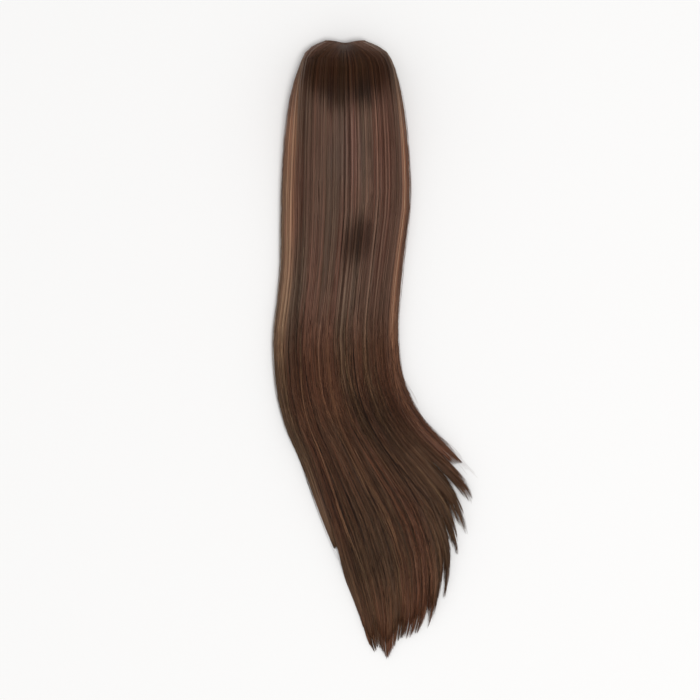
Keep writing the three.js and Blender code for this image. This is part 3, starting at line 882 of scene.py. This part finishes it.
def lock_width(name, rows):
    """A side lock's width as a share across, which is the crown's border at the head too."""
    at_head = LOCK_HEAD * smooth(rows, 0.0, FAN_RUN) * (1 - smooth(rows, LOCK_HEAD_FROM, LOCK_HEAD_TO))
    return np.maximum(curves[name](rows), at_head)


def between_locks(place, rows):
    """Share across the whole fall for a share across the middle layers."""
    width = np.hypot(
        (curves["right_x"](rows) - curves["left_x"](rows)) * FALL_WIDTH,
        (curves["right_y"](rows) - curves["left_y"](rows)) * FALL_LENGTH,
    )
    left = lock_width("left_lock", rows)
    right = lock_width("right_lock", rows)
    start = np.where(left > 0.001, left + BORDER_GAP / width, 0.0)
    end = np.where(right > 0.001, 1 - right - BORDER_GAP / width, 1.0)
    return mix(start, end, fanned(place, rows))


def outer_reach(place):
    return lock_reach(place, "outer_tip", OUTER_SHORTER)


def under_reach(place):
    return lock_reach(place, "under_tip", 0.0)


base = lay_clumps(11, 96, 10, between_locks, outer_reach, wraps=True, height=0.0003, short=0.008, gather=0.04)
hair_piece("crown_hair_base", base, brown_hair)
top = lay_clumps(12, 60, 16, between_locks, outer_reach, wraps=True, height=0.0005, bulge=0.0007,
                 sway=0.4, short=0.014, gather=0.05)
hair_piece("crown_hair_top", top, brown_hair)
# The finer strands lean to lighter shades: light fibres, and painted highlight for glints on single strands.
fine = lay_clumps(13, 320, 3, between_locks, outer_reach, wraps=True, height=0.0004, bulge=0.0012,
                  sway=0.8, short=0.03, gather=0.05, thick=0.55, shades=(1.3, 1.3), lighter=0.5)
hair_piece("crown_hair_fine", fine, brown_hair)

# %% [markdown]
# ## The layer below
# The longest tips belong to the hair below, which lies flat on the table. It shows past the ends of
# the crown layer, at the notches between its locks, and along the sides.

# %% Lay the under layer
under = lay_clumps(21, 60, 15, between_locks, under_reach, start=0.11, share=LAYER_SHARE, sway=0.4,
                   gather=0.05)
hair_piece("under_hair", under, brown_hair)

# %% [markdown]
# ## Fuller tips and wisps
# Where the fall fans out, the same strands have to cover more table. Real locks stay full there because
# their fibres close up, so shorter extra strands thicken each lock's end. Then a few wisps cross the
# others in the lower half, with thin dark strands that are painted shade for the slits between locks.
# They start below the surface and come up, so that no row of starts can be seen.

# %% Lay the tips and the wisps
NOTCH_FILL = 0.03  # how far beside a notch the reach is looked up, as a share across
WISP_SHORTER = 0.03


def tip_reach(place):
    """The reach of the layer below, with the notches in the left half of the fall half filled."""
    filled = (under_reach(place - NOTCH_FILL) + under_reach(place) + under_reach(place + NOTCH_FILL)) / 3
    return np.where(place < 0.5, filled, under_reach(place))


tips = lay_clumps(41, 72, 9, between_locks, tip_reach, start=0.50, start_spread=0.1, sink=0.003, share=0.7,
                  thick=1.1, sway=0.3, short=0.009)
hair_piece("tip_hair", tips, brown_hair)


def wisp_reach(place):
    return outer_reach(place) - WISP_SHORTER


wisps = lay_clumps(42, 64, 7, between_locks, wisp_reach, start=0.30, start_spread=0.25, sink=0.004,
                   height=0.0006, bulge=0.0012, sway=1.7, short=0.07, thick=0.8, shades=(2.4, 0.8))
hair_piece("crossing_wisps", wisps, brown_hair)
# Thin strands in the darkest shade: painted shade for the slits between locks
slit_shade = lay_clumps(43, 60, 3, between_locks, wisp_reach, start=0.42, start_spread=0.3, sink=0.004,
                   height=0.0005, bulge=0.0011, sway=1.5, short=0.06, shades=(0.4, 0.4), lighter=-4.0)
hair_piece("slit_shade_strands", slit_shade, brown_hair)

# %% [markdown]
# ## The caramel locks
# A lighter lock frames the fall on each side. It lies on the flank of the dome, from the table up to
# the shoulder, so its strands are spread by their angle on the dome and not by their share across.

# %% Lay the locks along both edges
LEFT_LOCK_END = 0.79
RIGHT_LOCK_END = 0.728


def on_left_flank(place, rows):
    return across_of_angle(mix(-1.0, angle_of_across(lock_width("left_lock", rows)), place))


def on_right_flank(place, rows):
    return across_of_angle(mix(1.0, angle_of_across(1 - lock_width("right_lock", rows)), place))


def left_reach(place):
    return LEFT_LOCK_END + 0 * place


def right_reach(place):
    return RIGHT_LOCK_END + 0 * place


left = lay_clumps(31, 22, 19, on_left_flank, left_reach, wraps=True, short=0.02, thick=1.2,
                  height=0.0002, sway=0.1, shades=(1.2, 1.2), deeper=0.0008)
hair_piece("left_lock_hair", left, caramel_hair)
right = lay_clumps(32, 18, 19, on_right_flank, right_reach, wraps=True, short=0.015, thick=1.2,
                   height=0.0002, sway=0.1, shades=(1.3, 1.7), deeper=0.0006)
hair_piece("right_lock_hair", right, caramel_hair)

# %% [markdown]
# ## Loose hairs
# No hairpiece lies perfectly combed. Single hairs stand off both edges, a few more of them at the right
# above the tips, and others cross the lower half. They are thin tubes too, each in its own low arc.

# %% Lay the loose hairs over the fall
# Each set: seed, count, across from and to, along from and to, longest run and how far it stands off.
loose_sets = [
    lay_loose(51, 60, 0.0, 0.02, 0.02, 0.6, 0.25, 0.0022),
    lay_loose(52, 60, 0.98, 1.0, 0.02, 0.5, 0.22, 0.0022),
    lay_loose(53, 60, 0.97, 1.0, 0.54, 0.66, 0.10, 0.005, drift=0.01),
    lay_loose(54, 100, 0.10, 0.90, 0.30, 0.62, 0.25, 0.002, drift=0.05),
    lay_loose(55, 320, 0.04, 0.96, 0.48, 0.62, 0.11, 0.0024, drift=0.03, thick=0.8),
]
loose = {key: np.concatenate([part[key] for part in loose_sets]) for key in loose_sets[0]}
hair_piece("loose_hairs", loose, brown_hair)

# %% [markdown]
# ## The table, the light and the camera
# The camera looks straight down from far away, so that the long piece keeps its shape. The light is a
# pale room all round and one large soft lamp, high above and to the right, which throws a faint shadow
# to the left.

# %% Table
TABLE_SIZE = 8.0
TABLE_COLOUR = (0.925, 0.922, 0.918, 1.0)
bpy.ops.mesh.primitive_plane_add(size=TABLE_SIZE, location=(0, 0, 0))
table = bpy.context.object
table.name = "table_top"
table_material, _, table_shader = new_material("pale_table")
table_shader.inputs["Base Color"].default_value = TABLE_COLOUR
table_shader.inputs["Roughness"].default_value = 0.9
table_shader.inputs["Specular IOR Level"].default_value = 0.1
table.data.materials.append(table_material)
print("table:", [round(side, 1) for side in table.dimensions])

# %% Light
ROOM_LIGHT = 0.62
ROOM_COLOUR = (1.0, 0.995, 0.99, 1.0)
KEY_PLACE = (1.2, -0.8, 6.0)
KEY_SIZE = 2.5
KEY_POWER = 172.0


def soft_light(name, place, size, power):
    data = bpy.data.lights.new(name, "AREA")
    data.shape = "DISK"
    data.size = size
    data.energy = power
    lamp = bpy.data.objects.new(name, data)
    lamp.location = place
    lamp.rotation_euler = (-Vector(place)).to_track_quat("-Z", "Y").to_euler()
    bpy.context.scene.collection.objects.link(lamp)
    return lamp


key_light = soft_light("key_light", KEY_PLACE, KEY_SIZE, KEY_POWER)
world = bpy.data.worlds.new("studio")
bpy.context.scene.world = world
world.use_nodes = True
background = world.node_tree.nodes["Background"]
background.inputs["Color"].default_value = ROOM_COLOUR
background.inputs["Strength"].default_value = ROOM_LIGHT
bpy.context.scene.view_settings.view_transform = "Standard"
print(key_light.name, "of", KEY_POWER, "W in a room of strength", ROOM_LIGHT)

# %% Camera
VIEW_WIDTH = 0.700
PICTURE_WIDTH = 700  # pixels
LENS = 240.0
SENSOR = 36.0
EDGE_PIXEL = 41.5  # row of the head's edge
CENTRE_PIXEL = 345.2  # column of its centre line
metres_per_pixel = VIEW_WIDTH / PICTURE_WIDTH
camera_data = bpy.data.cameras.new("camera")
camera_data.lens = LENS
camera_data.sensor_width = SENSOR
camera = bpy.data.objects.new("camera", camera_data)
camera.location = (
    centre_x + (PICTURE_WIDTH / 2 - CENTRE_PIXEL) * metres_per_pixel,
    head_y - (PICTURE_WIDTH / 2 - EDGE_PIXEL) * metres_per_pixel,
    VIEW_WIDTH * LENS / SENSOR,
)
bpy.context.scene.collection.objects.link(camera)
bpy.context.scene.camera = camera
print("camera at", [round(value, 3) for value in camera.location])
